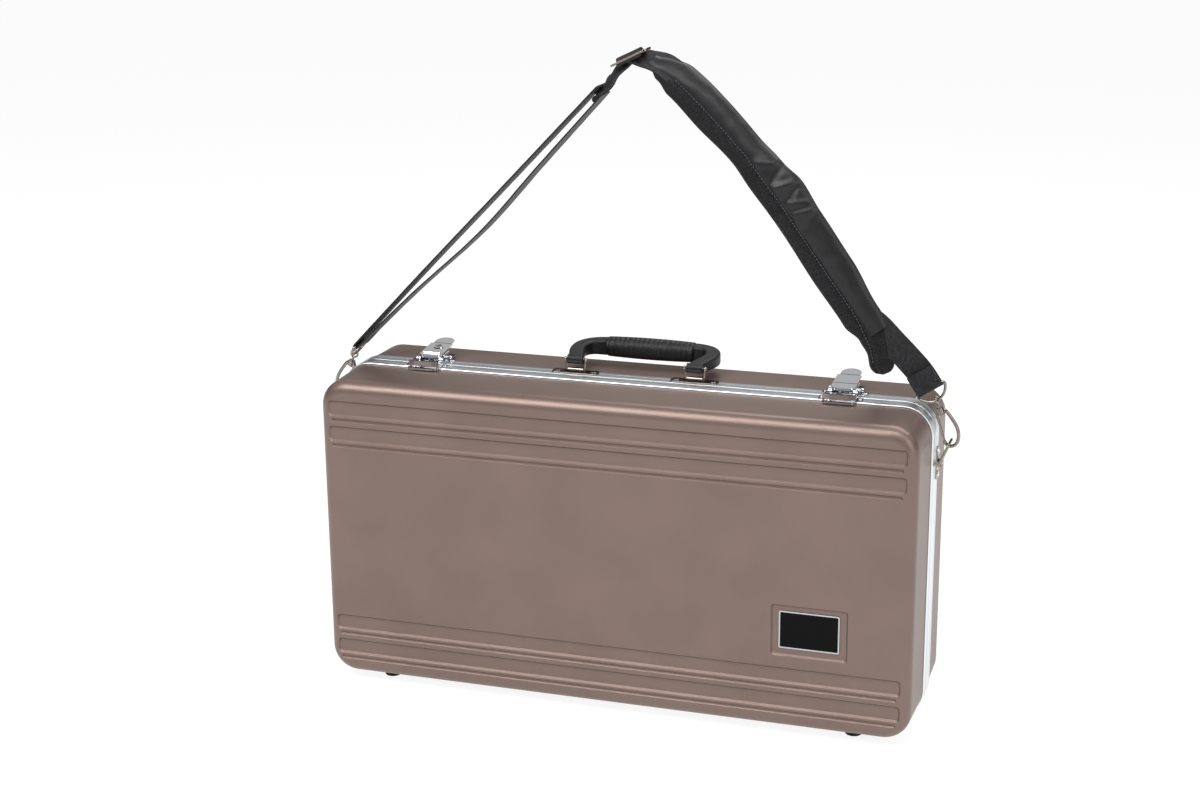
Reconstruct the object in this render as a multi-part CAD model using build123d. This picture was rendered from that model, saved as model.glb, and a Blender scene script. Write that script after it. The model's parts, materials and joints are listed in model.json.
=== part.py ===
"""Trumpet case: two moulded shells in aluminium rims, hinged along the bottom, latched on top.

Frame: millimetres, +X right, +Y away from the badge side, +Z up. The case stands on its feet
at z = 0, the lid is the badge half (y < 0) and the base is the other half (y > 0).
"""

import os
from math import cos, radians, sin, tan

from build123d import *

os.makedirs("parts", exist_ok=True)

# Case body
CASE_W = 570.0          # over the rims
CASE_H = 298.0          # over the rims
CASE_D = 154.0          # lid face to base back
FOOT_H = 5.0            # floor to the rims
FOOT_R = 8.0
FOOT_EDGE_R = 1.5
FOOT_FROM_END = 57.0
FOOT_FROM_FACE = 25.0
CORNER_R = 28.0

# Rims
RIM_D = 14.8            # depth of each rim half
RIM_T = 7.0
RIM_GAP = 0.3           # between the closed rim halves
RIM_EDGE_R = 1.2
RIM_MEET_R = 0.8
RIM_LINE_Y = 9.0        # groove round the rim, from the meeting plane
RIM_LINE_W = 1.2
RIM_LINE_DEPTH = 0.5
TONGUE_T = 1.6
TONGUE_D = 2.5
TONGUE_INSET = 4.0
TONGUE_CLEAR = 0.2
TONGUE_END = 4.0        # tongue stops this far above the bottom corners

# Shells and their ribbed panels, the same pressing at the top and the bottom of each face
SHELL_T = 3.4
SHELL_DRAFT = 1.2       # degrees
SHELL_EDGE_R = 11.5     # roll from the face to the sides
SHELL_INSET = 1.3       # shell skin behind the rim's outer face
SLOT_D = 9.0            # how deep the shell sits in the rim
SLOT_CLEAR = 0.05
PRESS_DEPTH = 2.1
PRESS_H = 15.4
PRESS_PITCH = 24.8
PRESS_FROM_END = 11.0   # from the rim's outer face to a recess's end
PRESS_SLOPE = 40.0      # degrees off the face normal
PRESS_CORNER_R = 4.0
PRESS_MARGIN = 21.2     # from the rim's outer face to the first recess
PRESS_MARGIN_LOW = 62.3
GROOVE_H = 3.6
GROOVE_DEPTH = 1.5
GROOVE_DROP = 3.7       # recess edge to groove centre

# Lining: a tray in each shell, and foam blocks round the pocket in the base
LINER_T = 9.0
LINER_CLEAR = 0.5
LINER_SET_BACK = 2.0    # liner's edge behind the rims' meeting plane
LINER_ROLL_R = 8.0
FOAM_CLEAR = 0.3
POCKET_MARGIN = 16.5    # tray wall to the bell
BELL_R = 66.0
TUBES_L = 420.0
TUBES_H = 112.0
TUBES_R = 45.0
VALVES_W = 104.0
VALVES_H = 200.0
VALVES_R = 14.0
VALVES_DROP = 2.0
VALVES_X = 12.0
LEADPIPE_W = 50.0
LEADPIPE_H = 40.0
LEADPIPE_R = 12.0
LEADPIPE_RISE = 32.0
BAY_W = 166.0
BAY_H = 54.0
BAY_FROM_END = 27.0
BAY_RISE = 25.0         # bay's floor above the rims' lower edge
BAY_LID_T = 3.0
BAY_LID_CLEAR = 0.5
BAY_LIP = 4.0           # rebate round the bay, for its lid
BAY_PIN_REACH = 8.0
FINGER_R = 9.0
MOUTH_X = 150.0
MOUTH_DROP = 49.0       # mouthpiece sockets below the rims' top
MOUTH_PITCH = 38.0
MOUTH_W = 26.0
MOUTH_R = 5.0
MOUTH_BLOCK_W = 90.0
MOUTH_BLOCK_DROP = 71.0

# Badge
BADGE_FROM_END = 95.0
BADGE_RISE = 99.0       # badge centre above the rims' lower edge
BADGE_W = 55.3
BADGE_H = 35.7
BADGE_T = 1.2
BADGE_R = 1.5
BORDER_W = 1.2
BORDER_PROUD = 0.3
BADGE_POCKET_W = 70.5
BADGE_POCKET_H = 49.0
BADGE_POCKET_DEPTH = 1.9
BADGE_POCKET_R = 3.0

# Hinges
HINGE_FROM_END = 105.0
HINGE_W = 62.0
KNUCKLES = 5
KNUCKLE_R = 2.1
KNUCKLE_GAP = 0.15
HINGE_PIN_R = 1.15
HINGE_CLEAR = 0.05
HINGE_DROP = 2.4        # pin below the rims
LEAF_T = 1.2
LEAF_D = 13.0
LEAF_RIVET_Y = 8.5
LEAF_RIVET_R = 1.6

# Latches
LATCH_FROM_END = 85.0
LEVER_HALF = 11.3
LEVER_BODY_L = 34.0
LEVER_FRONT_R = 7.0
LEVER_SHOULDER_R = 2.0
LEVER_TONGUE_HALF = 9.3
LEVER_T = 2.2
LEVER_EDGE_R = 0.6
LEVER_FRONT_Y = -3.8
LEVER_REAR_Y = 46.0
LEVER_TILT = 6.5        # degrees, rising to the rear
LEVER_RISE = 2.4        # lever's underside over its pivot, at its front edge
LEVER_GROOVES = (13.0, 34.0)
LEVER_GROOVE_W = 1.2
LEVER_GROOVE_D = 0.7
FRONT_BAR_ALONG = 7.5
FRONT_BAR_R = 1.6
EAR_T = 1.6
FLANGE_IN = 11.8
FLANGE_T = 1.2
ARM_IN = 13.8
ARM_T = 1.4
ARM_H = 3.0
ARM_END_R = 1.7
PIN_HEAD_T = 0.8
PIVOT_Y = -1.0
PIVOT_RISE = 4.0        # pivot above the rims
PIVOT_R = 1.2
PIVOT_HEAD_T = 0.6
LINK_Y = 14.5
LINK_RISE = 3.0
LINK_R = 1.0
HOOK_Y = -16.5
HOOK_BULGE = 3.0        # hook bar's front, ahead of the arms' ends
HOOK_FLAT_HALF = 9.0
HOOK_H = 4.6
HOOK_LIFT = 0.3         # hook clear above the catch lip
CATCH_T = 1.0
CATCH_LIP_H = 2.0
CATCH_HALF = 20.0
CATCH_RIVET_X = 17.6
CATCH_RIVET_Y = -8.6
CATCH_LOBE_R = 4.3
BASE_FLOOR_T = 1.2
BASE_WING_HALF = 20.8
BASE_RIVETS_X = (-18.4, -5.0, 5.0, 18.4)
BASE_RIVET_Y = 10.5
RIVET_R = 1.2
RIVET_HEAD_R = 2.0
RIVET_HEAD_T = 0.7
RUN_CLEAR = 0.05
KEY_ALONG = 25.0
KEY_R = 3.2
KEY_COLLAR = 2.2

# Handle
HANDLE_SHIFT = 1.4      # handle's middle, right of the case's
HANDLE_X = 57.9
LOOP_HALF = 9.0
LOOP_WIRE_R = 1.2
LOOP_Y = 9.0
LOOP_RISE = 2.6         # loop's lower bar above the rims
LOOP_H = 10.2
LOOP_CORNER_R = 1.5
LOOP_BALL_R = 1.9
LOOP_BALL_OUT = 0.9     # ball's centre outside the loop's leg
BRACKET_HALF = 22.5
BRACKET_T = 1.2
BRACKET_D = 12.0
BRACKET_CORNER_R = 3.0
BRACKET_KNUCKLE_R = 2.2
SCREW_R = 1.6
SCREW_HEAD_R = 3.2
SCREW_FROM_END = 5.0
GRIP_R = 10.4
GRIP_END_R = 9.4
GRIP_HALF = 43.5
GRIP_EDGE_R = 2.0
HANDLE_REACH = 54.0     # loop bar to grip axis
STRAP_W = 14.6
STRAP_EYE_R = 4.5
STRAP_T = 9.0           # at the loops
STRAP_END_T = 15.6      # at the grip
STRAP_R = 3.0
STRAP_BULGE = 6.5
CORE_W = 12.0
CORE_T = 5.0

# Side plates, rings and snap hooks
SIDE_Y = 7.6
SIDE_PLATE_H = 30.0
SIDE_PLATE_W = 10.0
SIDE_PLATE_T = 1.2
SIDE_PLATE_R = 3.0
SIDE_KNUCKLE_R = 2.3
SIDE_RIVET_DZ = 10.0
SIDE_RIVET_R = 1.5
SIDE_RIVET_HEAD_R = 2.9
SIDE_RIVET_HEAD_T = 1.2
RING_DROP = 57.0        # ring's bar below the rims' top
RING_OUT = 3.0          # ring's bar outside the rim face
RING_HALF = 11.0
RING_WIRE_R = 1.2
RING_CORNER_R = 3.0
HOOK_OUT = 1.9          # swivel collar outside the rim face
HOOK_DROP_Z = 8.2       # swivel collar below the rims' top
HOOK_ANGLE = 69.6       # hook axis below the horizontal, degrees
RING_ALONG = 30.0       # ring's top bar in the hook's bow
RING_ACROSS = -1.0
HOOK_WIRE_R = 1.6
HOOK_BOW = ((3.0, 0.0), (6.0, 5.5), (8.2, 26.0), (2.2, 33.6), (-5.6, 27.4))
COLLAR_R = 3.3
COLLAR_HALF = 2.8
STEM_R = 1.2
CHEEK_R = 1.5
CHEEK_HALF = 2.2
GATE_ACROSS = -4.5
GATE_ALONG = 4.4
GATE_R = 1.2
GATE_PIN_R = 0.7
GATE_EYE_HALF = 1.25
NOSE_GAP = 0.3
EYE_ALONG = -10.0
EYE_R = 3.4
EYE_WIRE_R = 1.0
DRING_SLOPE = 56.0      # webbing's end above the horizontal, degrees
DRING_HALF = 15.0
DRING_H = 12.5
DRING_WIRE_R = 1.3
DRING_CORNER_R = 2.0

# Shoulder strap, as shares of half the case's width and heights above the rims
WEB_W = 25.0
WEB_T = 1.4
FOLD_CLEAR = 0.15
FOLD_RUN = 16.0
LEFT_RUN_TOP = (-0.126, 263.0)
LEFT_RUN_MID = (-0.505, 132.5)
GATHER_T = 12.0
RUN_GAP = 8.4           # between the two runs, under the slider
SLIDER_AT = (-0.003, 296.1)
SLIDER_ANGLE = 25.6      # slider's long side above the horizontal, degrees
SLIDER_W = 38.0
SLIDER_L = 18.0
SLIDER_T = 2.0
SLIDER_R = 4.0
SLIDER_EDGE_R = 0.4
WINDOW_L = 4.4
WINDOW_PITCH = 7.2
HUMP_H = 4.0
PAD_W = 36.0
PAD_T = 9.0
SLEEVE_EXTRA_W = 5.0
SLEEVE_T = 2.0
LAYER_CLEAR = 0.1
BAND_LINE = (           # shared by the pad, the sleeve and the webbing between them
    (0.154, 277.5), (0.261, 250.1), (0.368, 217.5), (0.468, 185.8),
    (0.563, 150.3), (0.654, 113.8), (0.749, 76.4),
)
PAD_TONGUE = ((0.72, 88.5), (0.749, 76.4), (0.802, 49.0), (0.823, 23.0))
PAD_TONGUE_W = 22.0
SLEEVE_END = ((0.801, 65.0),)
WEB_END = ((0.801, 65.0), (0.902, 36.2))

MID_Z = FOOT_H + CASE_H / 2
TOP_Z = FOOT_H + CASE_H
HALF_W = CASE_W / 2
FACE_Y = CASE_D / 2
RIM_IN_Y = RIM_GAP / 2
RIM_OUT_Y = RIM_IN_Y + RIM_D
SLOT_Y = RIM_OUT_Y - SLOT_D
PIVOT_Z = TOP_Z + PIVOT_RISE
LINK_Z = TOP_Z + LINK_RISE


def save(name, shape):
    shape.label = name
    export_step(shape, f"parts/{name}.step")


def block(x0, x1, y0, y1, z0, z1):
    return Pos((x0 + x1) / 2, (y0 + y1) / 2, (z0 + z1) / 2) * Box(x1 - x0, y1 - y0, z1 - z0)


def rod(start, end, radius):
    axis = Vector(*end) - Vector(*start)
    plane = Plane(origin=start, z_dir=axis)
    return extrude(plane * Circle(radius), axis.length)


def rod_x(half, y, z, radius, middle=0.0):
    """Round bar along X, reaching half to each side of middle."""
    return rod((middle - half, y, z), (middle + half, y, z), radius)


def flip_x(shape):
    return mirror(shape, about=Plane.YZ)


def flip_y(shape):
    return mirror(shape, about=Plane.XZ)


def both_sides(shape):
    return shape + flip_x(shape)


def face_plane(y, x=0.0, z=MID_Z):
    """Plane facing -Y, so that a sketch's x and y run along X and Z."""
    return Plane(origin=(x, y, z), x_dir=(1, 0, 0), z_dir=(0, -1, 0))


def side_plane(x):
    """Plane facing +X, so that a sketch's x and y run along Y and Z."""
    return Plane(origin=(x, 0, 0), x_dir=(0, 1, 0), z_dir=(1, 0, 0))


def slab(inset, radius, y_start, depth, draft=0.0, roll=0.0):
    """Rounded box of the case's outline, inset by inset, growing toward -Y."""
    outline = RectangleRounded(CASE_W - 2 * inset, CASE_H - 2 * inset, radius)
    body = extrude(face_plane(y_start) * outline, depth, taper=draft)
    if roll:
        body = fillet(body.faces().sort_by(Axis.Y)[0].edges(), roll)
    return body


def frame_slab(inset, thick, y_start, depth):
    """Band of the case's outline, inset by inset and thick across."""
    outer = slab(inset, CORNER_R - inset, y_start, depth)
    return outer - slab(inset + thick, CORNER_R - inset - thick, y_start, depth)


def recess(x, z, width, height, depth, corner):
    """Pressed recess in the lid face with sloping walls."""
    outline = RectangleRounded(width, height, corner)
    cut = extrude(face_plane(-FACE_Y, x, z) * outline, -depth, taper=PRESS_SLOPE)
    skin = extrude(face_plane(-FACE_Y, x, z) * outline, SHELL_T)
    return cut + skin


def wire_ring(foot_plane, half, height, corner, radius):
    """Rectangular ring of round wire, its foot bar on the plane's x axis and the ring toward its y."""
    outline = foot_plane * (Pos(0, height / 2) * RectangleRounded(2 * half, height, corner))
    path = outline.wire()
    return sweep(Plane(origin=path @ 0, z_dir=path % 0) * Circle(radius), path=path)


def rivet(x, y, top, radius=RIVET_R, head=RIVET_HEAD_R):
    """Rivet standing on the rim's top, its head on a plate whose upper face is at top."""
    stem = rod((x, y, TOP_Z), (x, y, top), radius)
    dome = Pos(x, y, top + RIVET_HEAD_T / 2) * Cylinder(head, RIVET_HEAD_T)
    return stem + fillet(dome.edges().sort_by(Axis.Z)[-1], 0.7 * RIVET_HEAD_T)


lid_rivets, base_rivets = [], []

# Shells
shell_start = -SLOT_Y - SLOT_CLEAR
shell_depth = FACE_Y - SLOT_Y - SLOT_CLEAR
shell_inner_inset = SHELL_INSET + SHELL_T
shell_outer = slab(SHELL_INSET, CORNER_R - SHELL_INSET, shell_start, shell_depth, SHELL_DRAFT, SHELL_EDGE_R)
shell_inner = slab(
    shell_inner_inset, CORNER_R - shell_inner_inset, shell_start, shell_depth - SHELL_T,
    SHELL_DRAFT, SHELL_EDGE_R - SHELL_T,
)
plain_shell = shell_outer - shell_inner
press_w = CASE_W - 2 * PRESS_FROM_END
for first in (TOP_Z - PRESS_MARGIN, FOOT_H + PRESS_MARGIN_LOW):
    for step in range(2):
        top = first - step * PRESS_PITCH
        groove_z = top - PRESS_H - GROOVE_DROP
        plain_shell -= recess(0, top - PRESS_H / 2, press_w, PRESS_H, PRESS_DEPTH, PRESS_CORNER_R)
        plain_shell -= recess(0, groove_z, press_w - 2 * GROOVE_H, GROOVE_H, GROOVE_DEPTH, 0.49 * GROOVE_H)
badge_x = HALF_W - BADGE_FROM_END
badge_z = FOOT_H + BADGE_RISE
badge_cut = recess(badge_x, badge_z - 1, BADGE_POCKET_W, BADGE_POCKET_H, BADGE_POCKET_DEPTH, BADGE_POCKET_R)
base_shell = flip_y(plain_shell)
lid_shell = plain_shell - badge_cut
save("lid_shell", lid_shell)
save("base_shell", base_shell)

# Badge plate in its border, bare
badge_outline = RectangleRounded(BADGE_W, BADGE_H, BADGE_R)
badge_inner = RectangleRounded(BADGE_W - 2 * BORDER_W, BADGE_H - 2 * BORDER_W, BADGE_R / 2)
badge_plane = face_plane(BADGE_POCKET_DEPTH - FACE_Y, badge_x, badge_z)
save("badge_border", extrude(badge_plane * (badge_outline - badge_inner), BADGE_T + BORDER_PROUD))
save("badge_plate", extrude(badge_plane * badge_inner, BADGE_T))

# Rims, with a tongue on the lid's and a groove for it in the base's
rim_solid = slab(0, CORNER_R, -RIM_IN_Y, RIM_D)
rim_solid = fillet(rim_solid.faces().sort_by(Axis.Y)[0].edges(), RIM_EDGE_R)
rim_solid = fillet(rim_solid.faces().sort_by(Axis.Y)[-1].edges(), RIM_MEET_R)
rim_bore = slab(RIM_T, CORNER_R - RIM_T, -RIM_IN_Y, RIM_D)
slot_inset = SHELL_INSET - SLOT_CLEAR
slot_t = SHELL_T + SLOT_D * tan(radians(SHELL_DRAFT)) + 2 * SLOT_CLEAR
rim_line = frame_slab(0, RIM_LINE_DEPTH, -RIM_LINE_Y, RIM_LINE_W)
rim_body = rim_solid - rim_bore - frame_slab(slot_inset, slot_t, -SLOT_Y, SLOT_D) - rim_line
tongue_low = FOOT_H + CORNER_R + TONGUE_END
tongue = frame_slab(TONGUE_INSET, TONGUE_T, TONGUE_D - RIM_IN_Y, TONGUE_D)
tongue &= block(-HALF_W, HALF_W, -TONGUE_D, 2 * TONGUE_D, tongue_low, TOP_Z)
groove_d = TONGUE_D + 0.5
groove = frame_slab(TONGUE_INSET - TONGUE_CLEAR, TONGUE_T + 2 * TONGUE_CLEAR, groove_d, groove_d)
groove &= block(-HALF_W, HALF_W, 0, groove_d, tongue_low - 1, TOP_Z)
save("lid_rim", rim_body + tongue)
save("base_rim", flip_y(rim_body) - groove)

# Lining trays, one in each half
liner_start = RIM_IN_Y + LINER_SET_BACK
liner_depth = FACE_Y - SHELL_T - LINER_CLEAR - liner_start
liner_inset = RIM_T + LINER_CLEAR
tray_inset = liner_inset + LINER_T
tray_r = CORNER_R - tray_inset
tray = slab(liner_inset, CORNER_R - liner_inset, -liner_start, liner_depth, SHELL_DRAFT, LINER_ROLL_R)
tray -= slab(tray_inset, tray_r, -liner_start, liner_depth - LINER_T, SHELL_DRAFT, LINER_ROLL_R)
save("lid_liner", tray)
save("base_liner", flip_y(tray))

# Foam blocks in the base's tray, cut out for the trumpet, the accessories and two mouthpieces
foam_depth = liner_depth - LINER_T - FOAM_CLEAR
foam_inset = tray_inset + FOAM_CLEAR
foam = flip_y(slab(foam_inset, tray_r - FOAM_CLEAR, -liner_start, foam_depth, SHELL_DRAFT, LINER_ROLL_R))
bell_x = POCKET_MARGIN + tray_inset + BELL_R - HALF_W
horn = Pos(bell_x, 0) * Circle(BELL_R)
horn += Pos(VALVES_X, 0) * RectangleRounded(TUBES_L, TUBES_H, TUBES_R)
horn += Pos(VALVES_X, -VALVES_DROP) * RectangleRounded(VALVES_W, VALVES_H, VALVES_R)
leadpipe_x = VALVES_X + TUBES_L / 2 + 0.2 * LEADPIPE_W
horn += Pos(leadpipe_x, LEADPIPE_RISE) * RectangleRounded(LEADPIPE_W, LEADPIPE_H, LEADPIPE_R)
foam -= extrude(face_plane(liner_start) * horn, -foam_depth)
bay_x1 = HALF_W - BAY_FROM_END
bay_x0 = bay_x1 - BAY_W
bay_x = (bay_x0 + bay_x1) / 2
bay_z0 = FOOT_H + BAY_RISE
bay_z1 = bay_z0 + BAY_H
bay_hinge_y = liner_start + BAY_LID_T / 2 + BAY_LID_CLEAR
bay_hinge_z = bay_z0 - BAY_LIP / 2
foam -= block(bay_x0, bay_x1, liner_start, liner_start + foam_depth, bay_z0, bay_z1)
foam -= block(
    bay_x0 - BAY_LIP, bay_x1 + BAY_LIP, liner_start, liner_start + BAY_LID_T + BAY_LID_CLEAR,
    bay_z0 - BAY_LIP, bay_z1 + BAY_LIP - 1,
)
foam -= block(
    bay_x0 - BAY_LIP, bay_x1 + BAY_LIP, liner_start, bay_hinge_y + 2, bay_hinge_z - 2.4, bay_hinge_z + 3
)
foam -= rod_x(BAY_W / 2 + BAY_PIN_REACH, bay_hinge_y, bay_hinge_z, PIVOT_R + 2 * RUN_CLEAR, bay_x)
mouth_z = TOP_Z - MOUTH_DROP
for x in (MOUTH_X - MOUTH_PITCH / 2, MOUTH_X + MOUTH_PITCH / 2):
    socket = Pos(x, mouth_z - MID_Z) * RectangleRounded(MOUTH_W, MOUTH_W, MOUTH_R)
    foam -= extrude(face_plane(liner_start) * socket, -foam_depth)
mouth_x0, mouth_x1 = MOUTH_X - MOUTH_BLOCK_W / 2, MOUTH_X + MOUTH_BLOCK_W / 2
mouth_low = TOP_Z - MOUTH_BLOCK_DROP
mouth_seat = block(
    mouth_x0 - FOAM_CLEAR, mouth_x1 + FOAM_CLEAR, 0, FACE_Y, mouth_low - FOAM_CLEAR, TOP_Z
)
foam_cells = {
    "foam_top_left": (-HALF_W, VALVES_X, MID_Z, TOP_Z),
    "foam_top_right": (VALVES_X, HALF_W, MID_Z, TOP_Z),
    "foam_bottom_left": (-HALF_W, VALVES_X, FOOT_H, MID_Z),
    "foam_bottom_right": (VALVES_X, HALF_W, FOOT_H, MID_Z),
}
for name, (x0, x1, z0, z1) in foam_cells.items():
    save(name, (foam - mouth_seat) & block(x0, x1, 0, FACE_Y, z0, z1))
save("mouthpiece_block", foam & block(mouth_x0, mouth_x1, 0, FACE_Y, mouth_low, TOP_Z))
bay_lid_half = BAY_W / 2 + BAY_LIP - 0.5
bay_lid = block(
    bay_x - bay_lid_half, bay_x + bay_lid_half, liner_start + BAY_LID_CLEAR,
    liner_start + BAY_LID_CLEAR + BAY_LID_T - 0.2, bay_hinge_z, bay_z1 + BAY_LIP - 1.5,
)
bay_lid += rod_x(bay_lid_half, bay_hinge_y, bay_hinge_z, BAY_LID_T / 2, bay_x)
bay_lid += rod_x(BAY_W / 2 + BAY_PIN_REACH - 1, bay_hinge_y, bay_hinge_z, PIVOT_R, bay_x)
finger_notch = rod((bay_x, liner_start, bay_z1), (bay_x, liner_start + 2 * BAY_LID_T, bay_z1), FINGER_R)
save("accessory_lid", bay_lid - finger_notch)

# Feet
foot_x = HALF_W - FOOT_FROM_END
foot_y = FACE_Y - FOOT_FROM_FACE
foot_top = FOOT_H + SHELL_INSET + (foot_y - SLOT_Y + FOOT_R) * tan(radians(SHELL_DRAFT)) + 0.6
for side, name in ((-1, "left"), (1, "right")):
    for depth, half in ((-1, "lid"), (1, "base")):
        foot = extrude(Plane.XY * Pos(side * foot_x, depth * foot_y) * Circle(FOOT_R), foot_top)
        foot = fillet(foot.faces().sort_by(Axis.Z)[0].edges(), FOOT_EDGE_R)
        foot -= lid_shell if depth < 0 else base_shell
        save(f"foot_{half}_{name}", foot.solids().sort_by(Axis.Z)[0])

# Hinges along the bottom of the rims
hinge_z = FOOT_H - HINGE_DROP
knuckle_l = HINGE_W / KNUCKLES
leaf_low = FOOT_H - LEAF_T
leaf_rivets_x = (-HINGE_W / 3, HINGE_W / 3)


def leaf(side):
    """Hinge leaf on the lid (side -1) or the base (side +1), with every other knuckle its own."""
    y0, y1 = sorted((side * (RIM_IN_Y + 0.2), side * LEAF_D))
    plate = block(-HINGE_W / 2, HINGE_W / 2, y0, y1, leaf_low, FOOT_H)
    for k in range(KNUCKLES):
        middle = (k + 0.5) * knuckle_l - HINGE_W / 2
        if (k % 2 == 0) == (side > 0):
            plate += rod_x(knuckle_l / 2 - KNUCKLE_GAP, 0, hinge_z, KNUCKLE_R, middle)
        else:
            plate -= rod_x(knuckle_l / 2 + KNUCKLE_GAP, 0, hinge_z, KNUCKLE_R + 2 * KNUCKLE_GAP, middle)
    for x in leaf_rivets_x:
        plate -= rod((x, side * LEAF_RIVET_Y, 0), (x, side * LEAF_RIVET_Y, FOOT_H + 1), LEAF_RIVET_R)
    return plate - rod_x(HINGE_W, 0, hinge_z, HINGE_PIN_R + HINGE_CLEAR)


def hinge_rivet(x, side):
    head = Pos(x, side * LEAF_RIVET_Y, leaf_low - 0.5) * Cylinder(LEAF_RIVET_R + 1, 1.0)
    return head + rod((x, side * LEAF_RIVET_Y, leaf_low), (x, side * LEAF_RIVET_Y, FOOT_H), LEAF_RIVET_R)


hinge_x = HALF_W - HINGE_FROM_END
for side, name in ((-1, "left"), (1, "right")):
    here = Pos(side * hinge_x, 0, 0)
    save(f"hinge_leaf_base_{name}", here * leaf(1))
    save(f"hinge_leaf_lid_{name}", here * leaf(-1))
    save(f"hinge_pin_{name}", here * rod_x(HINGE_W / 2, 0, hinge_z, HINGE_PIN_R))
    lid_rivets += [hinge_rivet(side * hinge_x + x, -1) for x in leaf_rivets_x]
    base_rivets += [hinge_rivet(side * hinge_x + x, 1) for x in leaf_rivets_x]

# Latch levers: a plate with a rounded tongue, on two ears
lever_len = LEVER_REAR_Y - LEVER_FRONT_Y
lever_plane = Plane(
    origin=(0, LEVER_FRONT_Y, PIVOT_Z + LEVER_RISE), x_dir=(1, 0, 0),
    z_dir=(0, -sin(radians(LEVER_TILT)), cos(radians(LEVER_TILT))),
)


def corner_circles(half, along, radius):
    return [Pos(side * (half - radius), along) * Circle(radius) for side in (-1, 1)]


def hull(circles):
    edges = circles[0].edges()
    for circle in circles[1:]:
        edges += circle.edges()
    return make_hull(edges)


body_outline = hull(
    corner_circles(LEVER_HALF, LEVER_FRONT_R, LEVER_FRONT_R)
    + corner_circles(LEVER_HALF, LEVER_BODY_L - LEVER_SHOULDER_R, LEVER_SHOULDER_R)
)
tongue_outline = hull(
    [Pos(0, lever_len - LEVER_TONGUE_HALF) * Circle(LEVER_TONGUE_HALF)]
    + corner_circles(LEVER_TONGUE_HALF, LEVER_BODY_L / 2, LEVER_SHOULDER_R)
)
lever_blank = extrude(lever_plane * (body_outline + tongue_outline), LEVER_T)
lever_blank = fillet(lever_blank.faces().sort_by(Axis.Z)[-1].edges(), LEVER_EDGE_R)
ear_outline = hull([Pos(PIVOT_Y, PIVOT_Z) * Circle(2.5), Pos(LINK_Y, LINK_Z) * Circle(1.5)])
ear_outline += Polygon(
    (PIVOT_Y - 0.5, PIVOT_Z), (LINK_Y + 1.5, LINK_Z), (LINK_Y + 5.5, LINK_Z + 4.9),
    (PIVOT_Y - 1.4, PIVOT_Z + 2.8), align=None,
)
ear = extrude(side_plane(LEVER_HALF - EAR_T) * ear_outline, EAR_T)
pin_reach = ARM_IN + ARM_T + 5
pivot_hole = rod_x(pin_reach, PIVOT_Y, PIVOT_Z, PIVOT_R + RUN_CLEAR)
link_hole = rod_x(pin_reach, LINK_Y, LINK_Z, LINK_R + RUN_CLEAR)
lever = lever_blank + both_sides(ear) - pivot_hole - link_hole


def lever_groove(along):
    return lever_plane * Pos(0, along, LEVER_T) * Box(2 * LEVER_HALF + 1, LEVER_GROOVE_W, 2 * LEVER_GROOVE_D)


def on_lever(height):
    """Place on the lever's key axis, height above its underside."""
    return lever_plane * Pos(0, KEY_ALONG, height)


plain_lever = lever - lever_groove(LEVER_GROOVES[0]) - lever_groove(LEVER_GROOVES[1])
lock_lever = lever - lever_groove(LEVER_GROOVES[1])
front_bar_half = LEVER_HALF - 3.0
front_bar = Rot(0, 90, 0) * Cylinder(FRONT_BAR_R, 2 * front_bar_half)
lock_lever += lever_plane * Pos(0, FRONT_BAR_ALONG, LEVER_T) * front_bar
lock_lever += on_lever(LEVER_T + 0.3) * Cylinder(KEY_R + KEY_COLLAR, 0.8)
lock_lever -= on_lever(0) * Cylinder(KEY_R + RUN_CLEAR, 12)
key = on_lever(-0.6) * Cylinder(KEY_R, 6.6)
key += on_lever(-3.4) * Pos(0, 2, 0) * Box(2.6, 8.0, 1.0)
key -= on_lever(2.8) * Box(0.9, 3.8, 3.0)

# Latch links, with the hook bar across their front
arm_far = ARM_IN + ARM_T
arm_outline = Pos((HOOK_Y + LINK_Y) / 2, LINK_Z) * Rectangle(LINK_Y - HOOK_Y, ARM_H)
arm_outline += Pos(LINK_Y, LINK_Z) * Circle(ARM_END_R)
arm = extrude(side_plane(ARM_IN) * arm_outline, ARM_T)
catch_lip_z = TOP_Z + CATCH_LIP_H
hook_low = catch_lip_z + HOOK_LIFT
hook_outline = Polygon(
    (arm_far, HOOK_Y), (-arm_far, HOOK_Y), (-arm_far, HOOK_Y - 1), (-HOOK_FLAT_HALF, HOOK_Y - HOOK_BULGE),
    (HOOK_FLAT_HALF, HOOK_Y - HOOK_BULGE), (arm_far, HOOK_Y - 1), align=None,
)
hook_bar = extrude(Plane.XY.offset(hook_low) * hook_outline, HOOK_H)
link = both_sides(arm) + hook_bar + rod_x(arm_far + PIN_HEAD_T, LINK_Y, LINK_Z, LINK_R)
for side in (-1, 1):
    link += rod_x(PIN_HEAD_T / 2, LINK_Y, LINK_Z, ARM_END_R, side * (arm_far + PIN_HEAD_T / 2))

# Latch bases, with their pivot pins
floor_half = FLANGE_IN + FLANGE_T
floor_z = TOP_Z + BASE_FLOOR_T
flange_outline = Pos(PIVOT_Y, PIVOT_Z) * Circle(3.0)
flange_outline += Polygon(
    (PIVOT_Y + 1.8, TOP_Z), (9.0, TOP_Z), (9.0, floor_z),
    (PIVOT_Y + 3, PIVOT_Z), (PIVOT_Y - 2.4, PIVOT_Z - 1),
    (PIVOT_Y, TOP_Z + 1.6), align=None,
)
latch_base = block(-floor_half, floor_half, 0.8, 34.0, TOP_Z, floor_z)
latch_base -= block(-4.5, 4.5, 16.5, 31.0, TOP_Z, floor_z)
latch_base += block(-BASE_WING_HALF, BASE_WING_HALF, 4.0, RIM_OUT_Y - 0.4, TOP_Z, floor_z)
latch_base += both_sides(extrude(side_plane(FLANGE_IN) * flange_outline, FLANGE_T))
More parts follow.
